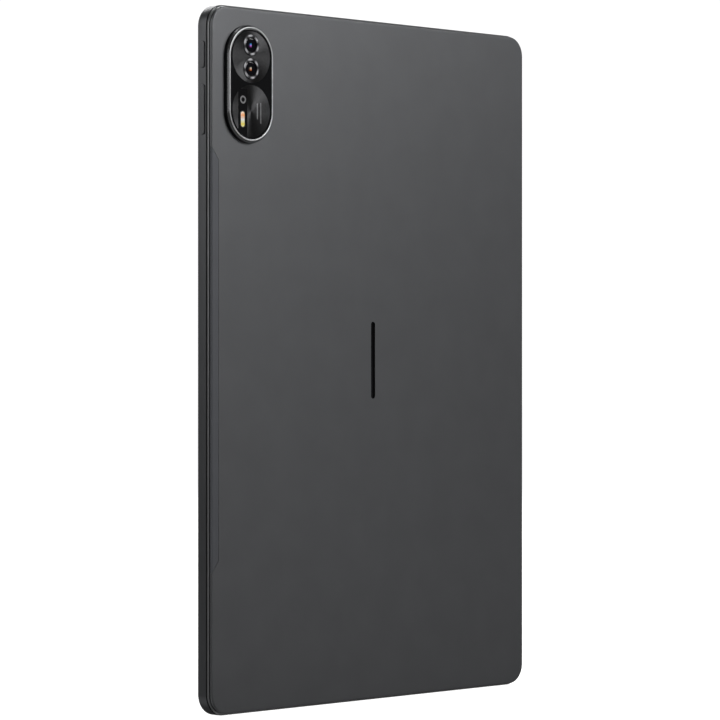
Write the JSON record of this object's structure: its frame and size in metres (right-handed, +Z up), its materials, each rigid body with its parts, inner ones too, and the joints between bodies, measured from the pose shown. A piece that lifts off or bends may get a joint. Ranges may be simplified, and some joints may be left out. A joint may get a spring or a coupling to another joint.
{
  "type": "tablet computer",
  "caption": "Thin grey metal tablet computer with a pill-shaped rear camera island, sprung side keys and a pull-out card tray.",
  "frame": {"origin": "centre of the rear cover's outer face", "axes": "+Z up along the long edge in portrait, +Y out of the rear cover, the screen faces -Y, +X towards the edge with the keys"},
  "size_m": [0.1704, 0.0091, 0.256],
  "materials": {
    "frame_metal": "bead-blasted dark grey anodised",
    "chamfer_metal": "bright diamond-cut edge",
    "cover_metal": "matte grey anodised",
    "strip_plastic": "painted to match the cover",
    "emblem_metal": "plain dark satin inlay",
    "black_gasket": "black foam and sealing rubber",
    "skirt_black": "gloss black",
    "bezel_metal": "polished bevelled ring",
    "window_glass": "smoked black glass with a ring-brushed print",
    "lens_metal": "dark turned metal",
    "lens_glass": "coated lens glass",
    "flash_plastic": "frosted clear plastic",
    "gold_contact": "gold-plated spring metal and antenna foil",
    "flex_film": "amber printed film",
    "steel": "stamped stainless steel",
    "port_plastic": "black moulded plastic",
    "screen_glass": "black-bordered clear cover glass",
    "tape": "black double-sided tape",
    "display_stack": "dark liquid-crystal panel",
    "backlight": "white light guide and films",
    "module_black": "black moulded module",
    "plate_metal": "plain rolled sheet",
    "cell_pouch": "laminated pouch foil",
    "board_green": "solder-masked board",
    "chip_black": "moulded chip package",
    "connector_ivory": "moulded connector",
    "graphite": "pressed graphite sheet"
  },
  "bodies": {
    "tablet": {"side_frame": "frame_metal", "chamfer_ring": "chamfer_metal", "rear_cover": "cover_metal", "cover_gasket": "black_gasket", "antenna_strip": "strip_plastic", "rear_emblem": "emblem_metal", "camera_skirt": "skirt_black", "camera_bezel": "bezel_metal", "camera_window": "window_glass", "lens_ring_upper": "lens_metal", "lens_ring_lower": "lens_metal", "lens_glass_upper": "lens_glass", "lens_glass_lower": "lens_glass", "flash_lens": "flash_plastic", "dome_switches": "gold_contact", "key_flex": "flex_film", "key_bracket": "steel", "card_reader": "steel", "usb_c_shell": "steel", "usb_c_tongue": "port_plastic", "screen_glass": "screen_glass", "screen_adhesive": "tape", "lcd_panel": "display_stack", "backlight_unit": "backlight", "display_flex": "flex_film", "front_camera": "module_black", "light_sensor": "module_black", "midframe_plate": "plate_metal", "battery_cell_key_side": "cell_pouch", "battery_cell_tray_side": "cell_pouch", "battery_tape": "tape", "battery_board": "board_green", "main_board": "board_green", "processor": "chip_black", "memory_chips": "chip_black", "power_chips": "chip_black", "front_shield": "steel", "rear_shield": "steel", "board_connectors": "connector_ivory", "graphite_sheet": "graphite", "board_screws": "steel", "port_board": "board_green", "main_flex": "flex_film", "microphones": "module_black", "speaker_top_key_side": "port_plastic", "speaker_top_tray_side": "port_plastic", "speaker_bottom_key_side": "port_plastic", "speaker_bottom_tray_side": "port_plastic", "speaker_meshes": "steel", "rear_camera_main": "module_black", "rear_camera_depth": "module_black", "camera_bracket": "steel", "flash_board": "board_green", "side_antenna": "gold_contact", "end_antennas": "gold_contact"},
    "power_key": {"power_key": "frame_metal"},
    "volume_rocker": {"volume_rocker": "frame_metal"},
    "card_tray": {"card_tray": "frame_metal", "tray_seal": "black_gasket"}
  },
  "joints": [
    {"name": "power_key_press", "type": "slide", "parent": "tablet", "child": "power_key", "axis": [-1, 0, 0], "range_m": [0, 0.00025], "stiffness_N_per_m": 500},
    {"name": "volume_rocker_tilt", "type": "hinge", "parent": "tablet", "child": "volume_rocker", "pos_m": [0.083, -0.00405, 0.0901], "axis": [0, 1, 0], "range_deg": [-1.5, 1.5], "stiffness_Nm_per_rad": 0.02},
    {"name": "card_tray_slide", "type": "slide", "parent": "tablet", "child": "card_tray", "axis": [-1, 0, 0], "range_m": [0, 0.02]}
  ]
}
